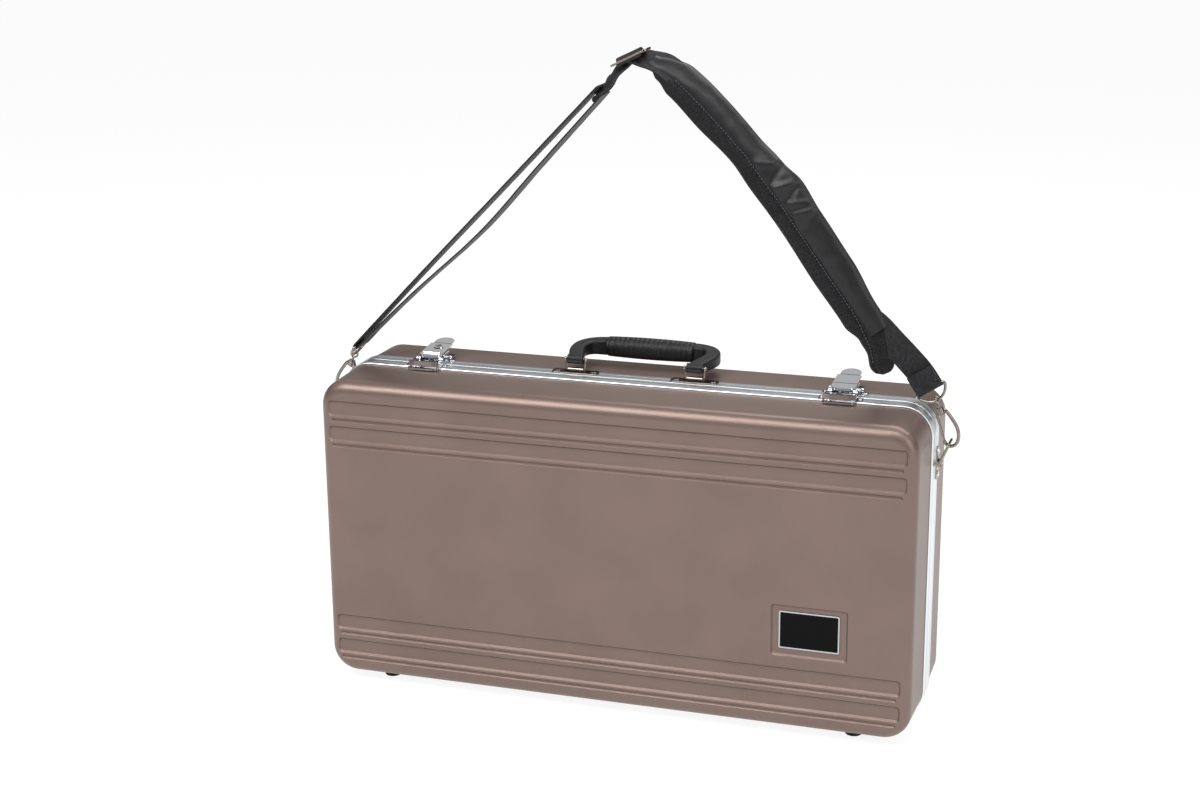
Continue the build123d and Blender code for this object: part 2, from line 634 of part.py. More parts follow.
for x in BASE_RIVETS_X:
    latch_base -= rod((x, BASE_RIVET_Y, TOP_Z), (x, BASE_RIVET_Y, floor_z), RIVET_R)
latch_base -= pivot_hole


def pivot_stub(side):
    """Headed pin through a flange and the lever's ear beside it."""
    inner = side * (LEVER_HALF - EAR_T)
    outer = side * floor_half
    stub = rod((inner, PIVOT_Y, PIVOT_Z), (outer, PIVOT_Y, PIVOT_Z), PIVOT_R)
    return stub + rod_x(PIVOT_HEAD_T / 2, PIVOT_Y, PIVOT_Z, 1.5 * PIVOT_R, outer + side * PIVOT_HEAD_T / 2)


# Catches: a plate with the lip on it and a lobed front that folds over the rim's edge
catch_z = TOP_Z + CATCH_T
catch_front = -RIM_OUT_Y - 4.6
catch = block(-11.0, 11.0, catch_front - 2, -1.2, TOP_Z, catch_z)
catch += block(-CATCH_HALF, CATCH_HALF, -13.6, -4.5, TOP_Z, catch_z)
catch += block(-10.0, 10.0, -13.4, -10.6, TOP_Z, catch_lip_z)
lobes = hull([Pos(side * (15 - CATCH_LOBE_R), catch_front) * Circle(CATCH_LOBE_R) for side in (-1, 1)])
catch += extrude(Plane.XY.offset(TOP_Z - 0.6) * lobes, CATCH_T + 0.6)
catch -= slab(0, CORNER_R, -RIM_IN_Y, RIM_D)
for x in (-CATCH_RIVET_X, CATCH_RIVET_X):
    catch -= rod((x, CATCH_RIVET_Y, TOP_Z), (x, CATCH_RIVET_Y, catch_z), RIVET_R)

latch_x = HALF_W - LATCH_FROM_END
for side, name in ((-1, "left"), (1, "right")):
    here = Pos(side * latch_x, 0, 0)
    save(f"latch_base_{name}", here * latch_base)
    save(f"latch_lever_{name}", here * (lock_lever if side < 0 else plain_lever))
    save(f"latch_link_{name}", here * link)
    save(f"latch_catch_{name}", here * catch)
    base_rivets += [here * rivet(x, BASE_RIVET_Y, floor_z) for x in BASE_RIVETS_X]
    base_rivets += [here * pivot_stub(-1), here * pivot_stub(1)]
    lid_rivets += [here * rivet(x, CATCH_RIVET_Y, catch_z) for x in (-CATCH_RIVET_X, CATCH_RIVET_X)]
save("key_cylinder", Pos(-latch_x, 0, 0) * key)
save("lid_rivets", Compound(children=lid_rivets))

# Handle: wire loops in screwed brackets
loop_low_z = TOP_Z + LOOP_RISE
loop_high_z = loop_low_z + LOOP_H
loop_plane = Plane(origin=(0, LOOP_Y, loop_low_z), x_dir=(1, 0, 0), z_dir=(0, -1, 0))
loop = wire_ring(loop_plane, LOOP_HALF, LOOP_H, LOOP_CORNER_R, LOOP_WIRE_R)
for side in (-1, 1):
    loop += Pos(side * (LOOP_HALF + LOOP_BALL_OUT), LOOP_Y, loop_high_z) * Sphere(LOOP_BALL_R)
knuckle_half = LOOP_HALF - LOOP_WIRE_R - 0.4
screw_x = BRACKET_HALF - SCREW_FROM_END
screw_y = LOOP_Y - 1
bracket_y0 = screw_y - BRACKET_D / 2 + 0.2
bracket_z = TOP_Z + BRACKET_T
bracket = block(-BRACKET_HALF, BRACKET_HALF, bracket_y0, bracket_y0 + BRACKET_D, TOP_Z, bracket_z)
bracket = fillet(bracket.edges().filter_by(Axis.Z), BRACKET_CORNER_R)
bracket += rod_x(knuckle_half, LOOP_Y, loop_low_z, BRACKET_KNUCKLE_R)
bracket += block(
    -knuckle_half, knuckle_half, LOOP_Y - BRACKET_KNUCKLE_R, LOOP_Y + BRACKET_KNUCKLE_R, TOP_Z, loop_low_z
)
bracket -= rod_x(LOOP_HALF, LOOP_Y, loop_low_z, LOOP_WIRE_R + RUN_CLEAR)
leg_slot = block(
    -LOOP_WIRE_R - 0.4, LOOP_WIRE_R + 0.4, LOOP_Y - 2.6, LOOP_Y + 2.6, TOP_Z + BRACKET_T / 2, loop_low_z
)
bracket -= Pos(-LOOP_HALF, 0, 0) * leg_slot + Pos(LOOP_HALF, 0, 0) * leg_slot
for x in (-screw_x, screw_x):
    bracket -= rod((x, screw_y, TOP_Z), (x, screw_y, bracket_z), SCREW_R)
handle_screws = []
for side, name in ((-1, "left"), (1, "right")):
    here = Pos(HANDLE_SHIFT + side * HANDLE_X, 0, 0)
    save(f"handle_bracket_{name}", here * bracket)
    save(f"handle_loop_{name}", here * loop)
    handle_screws += [here * rivet(x, screw_y, bracket_z, SCREW_R, SCREW_HEAD_R) for x in (-screw_x, screw_x)]
save("handle_screws", Compound(children=handle_screws))

# Handle strap, one length from loop to loop through the grip, and the padded grip on it
handle_plane = Plane(origin=(HANDLE_SHIFT, LOOP_Y, loop_high_z), x_dir=(1, 0, 0), z_dir=(0, 0, 1))
strap_line = Spline(
    (HANDLE_X, 0), (HANDLE_X + STRAP_BULGE, 0.45 * HANDLE_REACH), (GRIP_HALF, HANDLE_REACH),
    tangents=((0.2, 1), (-1, 0)),
)


def strap_section(share):
    """Section of the handle's strap, thicker toward the grip."""
    place = Plane(origin=strap_line @ share, x_dir=Vector(0, 0, 1), z_dir=strap_line % share)
    return place * RectangleRounded(STRAP_T + (STRAP_END_T - STRAP_T) * share, STRAP_W, STRAP_R)


strap_half = loft([strap_section(k / 6) for k in range(7)])
strap_half += rod_x(STRAP_W / 2, 0, 0, STRAP_EYE_R, HANDLE_X)
strap_half -= rod_x(LOOP_HALF + 4, 0, 0, LOOP_WIRE_R + RUN_CLEAR, HANDLE_X)
core = Pos(0, HANDLE_REACH, 0) * Box(2 * GRIP_HALF + 0.4, CORE_W, CORE_T)
save("handle_strap", handle_plane * (both_sides(strap_half) + core))
grip_outline = [
    Line((-GRIP_HALF, 0), (-GRIP_HALF, GRIP_END_R)),
    ThreePointArc((-GRIP_HALF, GRIP_END_R), (0, GRIP_R), (GRIP_HALF, GRIP_END_R)),
    Line((GRIP_HALF, GRIP_END_R), (GRIP_HALF, 0)),
    Line((GRIP_HALF, 0), (-GRIP_HALF, 0)),
]
grip = revolve(make_face(Wire(grip_outline)), Axis.X)
grip = fillet(grip.edges().filter_by(GeomType.CIRCLE), GRIP_EDGE_R)
grip -= Box(2 * GRIP_HALF + 2, CORE_W + 0.1, CORE_T + 0.1)
save("handle_grip", handle_plane * Pos(0, HANDLE_REACH, 0) * grip)

# Side plates with rings, for the strap hooks
hook_dir = Vector(cos(radians(HOOK_ANGLE)), 0, -sin(radians(HOOK_ANGLE)))
hook_across = Vector(sin(radians(HOOK_ANGLE)), 0, cos(radians(HOOK_ANGLE)))
hook_origin = Vector(HALF_W + HOOK_OUT, SIDE_Y, TOP_Z - HOOK_DROP_Z)
hook_plane = Plane(origin=hook_origin, x_dir=hook_across, z_dir=(0, 1, 0))


def at_hook(across, along, out=0.0):
    return hook_origin + hook_across * across + hook_dir * along + Vector(0, out, 0)


def hook_rod(across, along, half, radius):
    """Round bar along Y at a place on the hook."""
    return rod(at_hook(across, along, -half), at_hook(across, along, half), radius)


ring_z = TOP_Z - RING_DROP
ring_foot = Vector(HALF_W + RING_OUT, SIDE_Y, ring_z)
ring_up = at_hook(RING_ACROSS, RING_ALONG) - ring_foot
ring_plane = Plane(origin=ring_foot, x_dir=(0, 1, 0), z_dir=Vector(0, 1, 0).cross(ring_up))
ring = wire_ring(ring_plane, RING_HALF, ring_up.length, RING_CORNER_R, RING_WIRE_R)
plate_far = HALF_W + SIDE_PLATE_T
side_plate = block(
    HALF_W, plate_far, SIDE_Y - SIDE_PLATE_W / 2, SIDE_Y + SIDE_PLATE_W / 2,
    ring_z - SIDE_PLATE_H / 2, ring_z + SIDE_PLATE_H / 2,
)
side_plate = fillet(side_plate.edges().filter_by(Axis.X), SIDE_PLATE_R)
side_knuckle = SIDE_PLATE_W / 2 - 0.5


def foot_bar(half, radius):
    """Round bar along Y where the ring's lower bar lies."""
    along = Vector(0, half, 0)
    return rod(ring_foot - along, ring_foot + along, radius)


side_plate += foot_bar(side_knuckle, SIDE_KNUCKLE_R)
side_plate += block(
    HALF_W, ring_foot.X, SIDE_Y - side_knuckle, SIDE_Y + side_knuckle,
    ring_z - SIDE_KNUCKLE_R, ring_z + SIDE_KNUCKLE_R,
)
side_plate -= foot_bar(RING_HALF, RING_WIRE_R + RUN_CLEAR)
for z in (ring_z - SIDE_RIVET_DZ, ring_z + SIDE_RIVET_DZ):
    stem = rod((HALF_W, SIDE_Y, z), (plate_far, SIDE_Y, z), SIDE_RIVET_R)
    side_plate -= stem
    head = rod((plate_far, SIDE_Y, z), (plate_far + SIDE_RIVET_HEAD_T, SIDE_Y, z), SIDE_RIVET_HEAD_R)
    side_rivet = stem + fillet(head.edges().sort_by(Axis.X)[-1], 0.8)
    base_rivets += [side_rivet, flip_x(side_rivet)]
save("base_rivets", Compound(children=base_rivets))

# Snap hook: bow, sprung gate and swivel; its plane is the strap's plane
bow_path = hook_plane * Spline(*HOOK_BOW, tangents=((0.8, 0.6), (-0.05, -1)))
nose_across, nose_along = HOOK_BOW[-1]
bow = sweep(Plane(origin=bow_path @ 0, z_dir=bow_path % 0) * Circle(HOOK_WIRE_R), path=bow_path)
cheek_outline = hull([Pos(-2.0, 0) * Circle(CHEEK_R), Pos(GATE_ACROSS, GATE_ALONG) * Circle(CHEEK_R)])
gate_room = Pos(GATE_ACROSS - 0.2, GATE_ALONG + 0.6) * Rectangle(5.6, 6.4)
cheeks = extrude(hook_plane * cheek_outline, CHEEK_HALF, both=True)
cheeks -= extrude(hook_plane * gate_room, GATE_EYE_HALF + 0.1, both=True)
hook_frame = bow + rod(at_hook(0, -COLLAR_HALF), at_hook(0, COLLAR_HALF), COLLAR_R) + cheeks
hook_frame -= rod(at_hook(0, -COLLAR_HALF - 1), at_hook(0, COLLAR_HALF + 1), STEM_R + RUN_CLEAR)
hook_frame -= hook_rod(GATE_ACROSS, GATE_ALONG, CHEEK_HALF, GATE_PIN_R + RUN_CLEAR)
gate = rod(at_hook(GATE_ACROSS, GATE_ALONG), at_hook(nose_across, nose_along - NOSE_GAP), GATE_R)
gate += hook_rod(GATE_ACROSS, GATE_ALONG, GATE_EYE_HALF, CHEEK_R)
gate += hook_rod(GATE_ACROSS, GATE_ALONG, CHEEK_HALF, GATE_PIN_R)
eye_centre = at_hook(0, EYE_ALONG)
web_end_dir = Vector(-cos(radians(DRING_SLOPE)), 0, sin(radians(DRING_SLOPE)))


def eye_plane(turned):
    """Plane of the D-ring at the swivel's loop, its y toward the webbing, turned a quarter on the left."""
    x_dir = Vector(0, 1, 0) if turned else Vector(sin(radians(DRING_SLOPE)), 0, cos(radians(DRING_SLOPE)))
    return Plane(origin=eye_centre, x_dir=x_dir, z_dir=x_dir.cross(web_end_dir))


def swivel(turned):
    axis = Vector(0, 1, 0) if turned else hook_across
    eye = Plane(origin=eye_centre, z_dir=axis) * Torus(EYE_R, EYE_WIRE_R)
    stem = rod(at_hook(0, EYE_ALONG + EYE_R), at_hook(0, COLLAR_HALF + 0.2), STEM_R)
    return eye + stem + rod(at_hook(0, COLLAR_HALF + 0.1), at_hook(0, COLLAR_HALF + 1.1), STEM_R + 0.5)


def dring(turned):
    arc = ThreePointArc((-DRING_HALF, DRING_H), (0, 0), (DRING_HALF, DRING_H))
    outline = make_face([arc, Line(arc @ 1, arc @ 0)])
    outline = fillet(outline.vertices(), DRING_CORNER_R)
    path = (eye_plane(turned) * outline).wire()
    return sweep(Plane(origin=path @ 0, z_dir=path % 0) * Circle(DRING_WIRE_R), path=path)


for turned, name in ((True, "left"), (False, "right")):
    pieces = {
        "side_plate": side_plate, "side_ring": ring, "hook_frame": hook_frame, "hook_gate": gate,
        "hook_swivel": swivel(turned), "strap_dring": dring(turned),
    }
    for part_name, shape in pieces.items():
        save(f"{part_name}_{name}", flip_x(shape) if turned else shape)

# Strap: two runs of webbing on the left, slider, then webbing under a padded sleeve on the right
fold_in = DRING_WIRE_R + FOLD_CLEAR
fold_mid = fold_in + WEB_T / 2
across_strap = Vector(0, 1, 0)


def on_strap(point):
    """Point in the strap's plane from its share of half the width and its height above the rims."""
    return Vector(point[0] * HALF_W, SIDE_Y, TOP_Z + point[1])


def fold(turned, run):
    """Webbing end folded round the D-ring's bar and stitched to itself over the length run."""
    plane = eye_plane(turned)
    centre = plane.from_local_coords((0, DRING_H, 0))
    half = plane.x_dir * (WEB_W / 2)
    body = rod(centre - half, centre + half, fold_in + WEB_T)
    if run:
        body += plane * Pos(0, DRING_H + run / 2, 0) * Box(WEB_W, run, 2 * WEB_T)
    return body - rod(centre - half * 1.2, centre + half * 1.2, fold_in)


def ribbon(stations):
    """Ruled strip through stations of (centre, travel direction, width direction, thickness)."""
    sections = [Plane(origin=c, x_dir=w, z_dir=t) * Rectangle(WEB_W, th) for c, t, w, th in stations]
    return loft(sections, ruled=True)


bar_left = eye_plane(True).from_local_coords((0, DRING_H, 0))
bar_left = Vector(-bar_left.X, SIDE_Y, bar_left.Z)
outer_end = on_strap(LEFT_RUN_TOP)
left_dir = (outer_end - bar_left).normalized()
left_normal = left_dir.cross(across_strap)
outer_start = bar_left + left_normal * fold_mid
inner_start = bar_left - left_normal * fold_mid
inner_mid = on_strap(LEFT_RUN_MID)
inner_end = outer_end - left_normal * RUN_GAP
low_dir = (inner_mid - inner_start).normalized()
high_dir = (inner_end - inner_mid).normalized()
webbing_left = ribbon([
    (outer_start, left_dir, across_strap, WEB_T),
    (outer_end, left_dir, across_strap, WEB_T),
])
webbing_left += flip_x(fold(True, 0))
webbing_left += ribbon([
    (inner_start, low_dir, across_strap, WEB_T),
    (inner_mid, (low_dir + high_dir).normalized(), across_strap, WEB_T),
    (inner_end, high_dir, across_strap, WEB_T),
])
save("webbing_left", webbing_left)

# Slider, seen edge-on from the front, and the gathered webbing that humps over its middle bar
slider_long = Vector(cos(radians(SLIDER_ANGLE)), 0, sin(radians(SLIDER_ANGLE)))
slider_normal = slider_long.cross(across_strap)
slider_plane = Plane(origin=on_strap(SLIDER_AT), x_dir=slider_long, z_dir=slider_normal)
windows = GridLocations(1, WINDOW_PITCH, 1, 2) * RectangleRounded(SLIDER_W - 6, WINDOW_L, 1.5)
slider_outline = RectangleRounded(SLIDER_W, SLIDER_L, SLIDER_R) - windows
slider = extrude(slider_plane * slider_outline, SLIDER_T / 2, both=True)
save("strap_slider", fillet(slider.edges().group_by(SortBy.LENGTH)[-1], SLIDER_EDGE_R))
pad_start = on_strap(BAND_LINE[0])
pad_dir = (on_strap(BAND_LINE[1]) - pad_start).normalized()
gather_d = WINDOW_PITCH + WINDOW_L - 1
under_slider = on_strap(SLIDER_AT) - slider_normal * (SLIDER_T / 2 + FOLD_CLEAR)
hump = slider_plane * Pos(0, 0, HUMP_H / 2 - 1) * Box(WEB_W, gather_d - 0.2, HUMP_H + 2)
webbing_top = ribbon([
    ((outer_end + inner_end) * 0.5 + left_dir * FOAM_CLEAR, left_dir, across_strap, GATHER_T),
    (under_slider - slider_normal, slider_normal, slider_long, gather_d),
    (under_slider, slider_normal, slider_long, gather_d),
])
hump_edges = hump.edges().filter_by(Axis((0, 0, 0), slider_long)).sort_by(Axis.Z)[-2:]
webbing_top += fillet(hump_edges, HUMP_H / 2)
behind_slider = under_slider - slider_normal * 0.5 + across_strap * ((gather_d - WEB_T) / 2)
webbing_top += ribbon([
    (behind_slider, slider_normal * -1, slider_long, WEB_T),
    (pad_start - pad_dir * WEB_T, pad_dir, pad_dir.cross(across_strap), WEB_T),
])
seat_windows = GridLocations(1, WINDOW_PITCH, 1, 2) * RectangleRounded(SLIDER_W - 6.3, WINDOW_L - 0.3, 1.4)
slider_seat = RectangleRounded(SLIDER_W + 0.3, SLIDER_L + 0.3, SLIDER_R) - seat_windows
webbing_top -= extrude(slider_plane * slider_seat, SLIDER_T / 2 + FOLD_CLEAR, both=True)
save("webbing_top", webbing_top)

# Right run: webbing, folded round its D-ring, between the pad and the sleeve
bar_right = eye_plane(False).from_local_coords((0, DRING_H + FOLD_RUN - 2, 0))


def strap_line_2d(points):
    """Smooth line through points given as shares and heights, in the strap's plane."""
    return Spline(*[(on_strap(point).X, on_strap(point).Z) for point in points])


def strip(line, width, thick, shift=0.0):
    """Flat strip along a line in the strap's plane, shifted toward +Y."""
    path = Plane(origin=(0, SIDE_Y + shift, 0), x_dir=(1, 0, 0), z_dir=(0, -1, 0)) * line
    travel = path % 0
    profile = Plane(origin=path @ 0, x_dir=travel.cross(across_strap), z_dir=travel) * Rectangle(width, thick)
    return sweep(profile, path=path)


web_line = strap_line_2d(BAND_LINE + WEB_END)
end_dir = (cos(radians(DRING_SLOPE)), -sin(radians(DRING_SLOPE)))
tail = Spline(web_line @ 1, (bar_right.X, bar_right.Z), tangents=(web_line % 1, end_dir))
save("webbing_right", strip(web_line, WEB_W, WEB_T) + strip(tail, WEB_W, WEB_T) + fold(False, FOLD_RUN))
layer = WEB_T / 2 + LAYER_CLEAR
pad_shift = layer + PAD_T / 2
pad_tongue = strip(strap_line_2d(PAD_TONGUE), PAD_TONGUE_W, PAD_T, pad_shift)
save("shoulder_pad", strip(strap_line_2d(BAND_LINE), PAD_W, PAD_T, pad_shift) + pad_tongue)
sleeve_line = strap_line_2d(BAND_LINE + SLEEVE_END)
save("pad_sleeve", strip(sleeve_line, WEB_W + SLEEVE_EXTRA_W, SLEEVE_T, -layer - SLEEVE_T / 2))
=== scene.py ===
"""Looks of the trumpet case: grained shells, aluminium rims, chrome latches, leather handle, padded strap."""

import json
import math

import bpy
from mathutils import Matrix, Vector, noise
from mathutils.geometry import interpolate_bezier


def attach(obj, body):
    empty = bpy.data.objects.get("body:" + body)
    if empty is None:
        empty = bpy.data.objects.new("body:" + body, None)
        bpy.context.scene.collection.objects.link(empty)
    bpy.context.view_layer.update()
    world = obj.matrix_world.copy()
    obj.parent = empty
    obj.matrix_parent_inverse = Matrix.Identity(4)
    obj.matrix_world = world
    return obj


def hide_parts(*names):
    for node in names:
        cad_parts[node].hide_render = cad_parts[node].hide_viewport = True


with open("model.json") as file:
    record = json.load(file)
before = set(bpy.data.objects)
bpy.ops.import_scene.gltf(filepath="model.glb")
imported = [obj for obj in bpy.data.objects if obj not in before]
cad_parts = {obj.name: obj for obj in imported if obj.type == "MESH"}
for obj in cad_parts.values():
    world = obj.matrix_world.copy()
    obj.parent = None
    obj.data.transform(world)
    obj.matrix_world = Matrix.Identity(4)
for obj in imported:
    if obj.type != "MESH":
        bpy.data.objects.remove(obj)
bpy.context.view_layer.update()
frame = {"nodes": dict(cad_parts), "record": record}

MM = 0.001
STRAP_Y = 7.6  # the strap hangs in this plane, mm
DEPTH = Vector((0, 1, 0))


# --- small tools -----------------------------------------------------------------------------


def linear(code, alpha=1.0):
    """sRGB hex value to linear colour."""
    values = [int(code[i : i + 2], 16) / 255 for i in (0, 2, 4)]
    return [v / 12.92 if v <= 0.04045 else ((v + 0.055) / 1.055) ** 2.4 for v in values] + [alpha]


def add(tree, kind, inputs=None, **settings):
    """Adds a node with its settings, and sets or links its inputs."""
    node = tree.nodes.new("ShaderNode" + kind)
    for name, value in settings.items():
        setattr(node, name, value)
    for name, value in (inputs or {}).items():
        if isinstance(value, bpy.types.NodeSocket):
            tree.links.new(value, node.inputs[name])
        else:
            node.inputs[name].default_value = value
    return node


def finish_named(name, color, roughness, metallic=0.0, **more):
    """New material; returns it with its tree, its shader and its coordinates."""
    material = bpy.data.materials.new(name)
    material.use_nodes = True
    tree = material.node_tree
    shader = tree.nodes["Principled BSDF"]
    shader.inputs["Base Color"].default_value = linear(color)
    shader.inputs["Roughness"].default_value = roughness
    shader.inputs["Metallic"].default_value = metallic
    for socket, value in more.items():
        shader.inputs[socket.replace("_", " ")].default_value = value
    place = tree.nodes.new("ShaderNodeTexCoord")
    return material, tree, shader, place


def ramp(tree, factor, stops):
    """Colour ramp over (position, hex) stops."""
    node = add(tree, "ValToRGB", {"Fac": factor})
    marks = node.color_ramp.elements
    marks[0].position, marks[0].color = stops[0][0], linear(stops[0][1])
    marks[1].position, marks[1].color = stops[-1][0], linear(stops[-1][1])
    for position, code in stops[1:-1]:
        marks.new(position).color = linear(code)
    return node.outputs["Color"]


def emboss(tree, shader, height, strength, depth_mm):
    """Bump of that depth on the shader."""
    bump = add(tree, "Bump", {"Height": height, "Strength": strength, "Distance": depth_mm * MM})
    tree.links.new(bump.outputs["Normal"], shader.inputs["Normal"])


def per_mm(cell):
    """Texture scale that gives a pattern of that pitch in millimetres."""
    return 1000.0 / cell


def noisy(tree, place, cell, detail, **more):
    """Noise over the piece, its cells that many millimetres across."""
    inputs = {"Vector": place.outputs["Object"], "Scale": per_mm(cell), "Detail": detail}
    return add(tree, "TexNoise", {**inputs, **more})


def tint(tree, shader, factor, stops):
    """Base colour from a ramp."""
    tree.links.new(ramp(tree, factor, stops), shader.inputs["Base Color"])


def vary(tree, shader, value, low, high):
    """Roughness that follows the value between two limits."""
    spread = add(tree, "MapRange", {"Value": value, "To Min": low, "To Max": high})
    tree.links.new(spread.outputs["Result"], shader.inputs["Roughness"])


# --- finishes --------------------------------------------------------------------------------

# ABS sheet with metallic pigment, vacuum-formed on a leather-grained mould: satin, with a thin clear coat.
shell_abs, tree, shader, place = finish_named(
    "grained_metallic_abs", "8d7a71", 0.40, 0.6, Coat_Weight=0.1, Coat_Roughness=0.3
)
cells = add(
    tree, "TexVoronoi", {"Vector": place.outputs["Object"], "Scale": per_mm(1.7)}, feature="SMOOTH_F1"
)
mottle = noisy(tree, place, 0.9, 4.0)
grain = add(tree, "Math", {0: cells.outputs["Distance"], 1: mottle.outputs["Fac"]}, operation="ADD")
emboss(tree, shader, grain.outputs[0], 0.2, 0.22)
cloud = noisy(tree, place, 60, 3.0)
tint(tree, shader, cloud.outputs["Fac"], [(0.3, "826f66"), (0.7, "88746b")])
vary(tree, shader, mottle.outputs["Fac"], 0.33, 0.46)

# Anodised extruded aluminium: satin with faint draw lines.
rim_aluminium, tree, shader, place = finish_named("anodised_aluminium", "f0f3f6", 0.30, 1.0)
streak = noisy(tree, place, 1.2, 5.0)
emboss(tree, shader, streak.outputs["Fac"], 0.03, 0.05)
vary(tree, shader, streak.outputs["Fac"], 0.24, 0.36)


def plated(name, color, roughness, wave_mm):
    """Bright plating over pressed or bent steel: mirror-like, with the slight waviness of cheap stock."""
    material, tree, shader, place = finish_named(name, color, roughness, 1.0)
    wave = noisy(tree, place, wave_mm, 2.0)
    emboss(tree, shader, wave.outputs["Fac"], 0.16, 0.35)
    scuff = noisy(tree, place, 2.0, 6.0)
    vary(tree, shader, scuff.outputs["Fac"], roughness * 0.6, roughness * 1.6)
    return material


latch_chrome = plated("chrome_plate", "e6e8ea", 0.07, 5.0)
hook_nickel = plated("nickel_plate", "9d958c", 0.12, 4.0)
hinge_steel = plated("zinc_plated_steel", "9fa1a3", 0.32, 3.0)
key_brass = plated("polished_brass", "c8a45c", 0.2, 3.0)


def leather(name, ring_mm, ring_depth):
    """Black cowhide: fine pebbled grain, a dull shine, and rings drawn across it at that pitch."""
    material, tree, shader, place = finish_named(name, "0d0d0f", 0.45, Specular_IOR_Level=0.42)
    pebble = add(
        tree, "TexVoronoi", {"Vector": place.outputs["Object"], "Scale": per_mm(1.4)},
        feature="DISTANCE_TO_EDGE",
    )
    crease = noisy(tree, place, 7.0, 6.0, Distortion=0.8)
    rings = add(
        tree, "TexWave",
        {"Vector": place.outputs["Object"], "Scale": per_mm(ring_mm) / 3.14, "Distortion": 3.5,
         "Detail": 2.0, "Detail Scale": 1.5},
        bands_direction="X",
    )
    low = add(tree, "MapRange", {"Value": rings.outputs["Fac"], "To Max": ring_depth})
    high = add(tree, "Math", {0: pebble.outputs["Distance"], 1: crease.outputs["Fac"]}, operation="ADD")
    skin = add(tree, "Math", {0: high.outputs[0], 1: low.outputs["Result"]}, operation="ADD")
    emboss(tree, shader, skin.outputs[0], 0.6, 0.4)
    tint(tree, shader, crease.outputs["Fac"], [(0.35, "09090a"), (0.8, "1b1b1e")])
    vary(tree, shader, crease.outputs["Fac"], 0.36, 0.56)
    return material


handle_leather = leather("black_grained_leather", 9.0, 0.25)
grip_leather = leather("black_wrapped_leather", 5.0, 1.6)


def woven(name, dark, light, pick_mm, end_mm, roughness, strength):
    """Woven nylon on the piece's own UV map, which is in metres along and across."""
    material, tree, shader, place = finish_named(name, dark, roughness, Sheen_Weight=0.1, Sheen_Roughness=0.4)
    in_mm = add(tree, "Mapping", {"Vector": place.outputs["UV"], "Scale": (per_mm(1.0),) * 3})
    weave = add(
        tree, "TexBrick",
        {"Vector": in_mm.outputs["Vector"], "Scale": 1.0, "Mortar Size": 0.2, "Mortar Smooth": 1.0,
         "Brick Width": pick_mm, "Row Height": end_mm, "Color1": linear(light), "Color2": linear(dark),
         "Mortar": linear("030303")},
    )
    uneven = noisy(tree, place, 9.0, 4.0)
    tone = add(
        tree, "Mix", {"Factor": uneven.outputs["Fac"], "A": weave.outputs["Color"], "B": linear(dark)},
        data_type="RGBA",
    )
    tree.links.new(tone.outputs["Result"], shader.inputs["Base Color"])
    emboss(tree, shader, weave.outputs["Color"], strength, 0.3)
    return material


# Nylon webbing: heavy plain weave, drawn coarse at 3.2 x 1.7 mm so that it shows.
strap_webbing = woven("nylon_webbing", "08080a", "303036", 3.2, 1.7, 0.6, 1.0)
# Coated nylon cloth of the sleeve: a fine, flat weave of 1.0 x 0.7 mm.
sleeve_nylon = woven("nylon_pack_cloth", "0f0f12", "1b1b20", 1.0, 0.7, 0.42, 0.4)

# Looped pile over foam: matt black with grey-blue lint and a knobbly surface.
pad_pile, tree, shader, place = finish_named(
    "looped_pile", "0c0c0f", 0.95, Sheen_Weight=0.15, Sheen_Roughness=0.5
)
loops = add(
    tree, "TexVoronoi", {"Vector": place.outputs["Object"], "Scale": per_mm(1.6), "Randomness": 1.0}
)
fluff = noisy(tree, place, 2.2, 6.0, Roughness=0.75)
tint(tree, shader, fluff.outputs["Fac"], [(0.45, "050506"), (0.58, "101014"), (0.74, "40434f")])
nap = add(tree, "Math", {0: loops.outputs["Distance"], 1: fluff.outputs["Fac"]}, operation="ADD")
emboss(tree, shader, nap.outputs[0], 0.9, 0.9)

# Twisted polyester thread, a shade lighter than the cloth.
seam_thread, tree, shader, place = finish_named("polyester_thread", "55555e", 0.6)
ply = add(
    tree, "TexWave", {"Vector": place.outputs["Object"], "Scale": per_mm(0.9), "Distortion": 1.0},
    bands_direction="DIAGONAL",
)
tint(tree, shader, ply.outputs["Fac"], [(0.2, "3a3a41"), (0.8, "6a6a74")])
emboss(tree, shader, ply.outputs["Fac"], 0.5, 0.2)

# Plush flocked over the moulded lining: soft and light-drinking, with brushed patches.
liner_plush, tree, shader, place = finish_named(
    "black_plush", "16161a", 0.95, Sheen_Weight=0.7, Sheen_Roughness=0.35
)
brushed = noisy(tree, place, 25, 3.0)
fibre = noisy(tree, place, 1.1, 5.0)
tint(tree, shader, brushed.outputs["Fac"], [(0.35, "121215"), (0.7, "222227")])
emboss(tree, shader, fibre.outputs["Fac"], 0.7, 0.6)

# Printed acrylic plate, left bare: deep black gloss.
badge_black, tree, shader, place = finish_named("black_acrylic", "020203", 0.09, Specular_IOR_Level=0.12)
dust = noisy(tree, place, 1.5, 4.0)
vary(tree, shader, dust.outputs["Fac"], 0.06, 0.16)
badge_silver = plated("stamped_aluminium", "c9cbce", 0.25, 6.0)

# Moulded rubber foot: matt, very slightly mottled.
foot_rubber, tree, shader, place = finish_named("moulded_rubber", "1a1a1b", 0.82)
bloom = noisy(tree, place, 2.0, 4.0)
emboss(tree, shader, bloom.outputs["Fac"], 0.2, 0.2)
tint(tree, shader, bloom.outputs["Fac"], [(0.3, "161617"), (0.7, "212122")])

